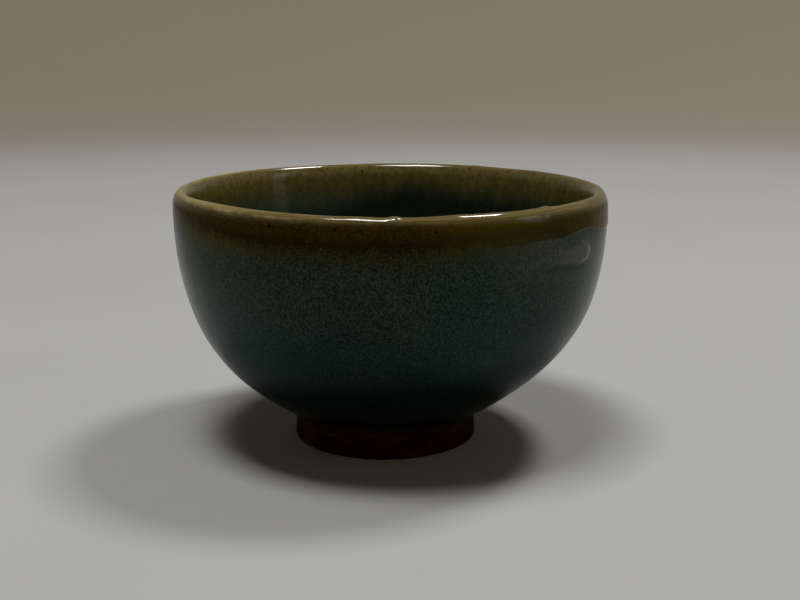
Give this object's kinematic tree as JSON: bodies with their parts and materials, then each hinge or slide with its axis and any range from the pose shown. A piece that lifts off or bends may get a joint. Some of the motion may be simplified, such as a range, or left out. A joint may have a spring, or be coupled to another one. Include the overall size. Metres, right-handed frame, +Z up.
{
  "type": "sake cup",
  "caption": "Small round stoneware sake cup: a thrown bowl on a bare foot ring, glazed grey-green, with a brown glazed lip. Holds a drink and stands on a table.",
  "frame": {"origin": "middle of the face that the foot ring stands on", "axes": "+Z up along the axis of the cup, towards the mouth; X and Y lie in the plane of the table, +Y away from the viewer"},
  "size_m": [0.068, 0.068, 0.0405],
  "materials": {
    "bowl_clay": "bare fired stoneware",
    "foot_clay": "bare fired stoneware, rubbed smooth",
    "joint_slip": "bare fired slip",
    "lining_glaze": "gloss",
    "body_glaze": "soft gloss",
    "rim_glaze": "gloss"
  },
  "bodies": {
    "root": {"clay_bowl": "bowl_clay", "foot_ring": "foot_clay", "foot_slip": "joint_slip", "inner_glaze": "lining_glaze", "outer_glaze": "body_glaze", "rim_glaze": "rim_glaze"}
  },
  "joints": []
}
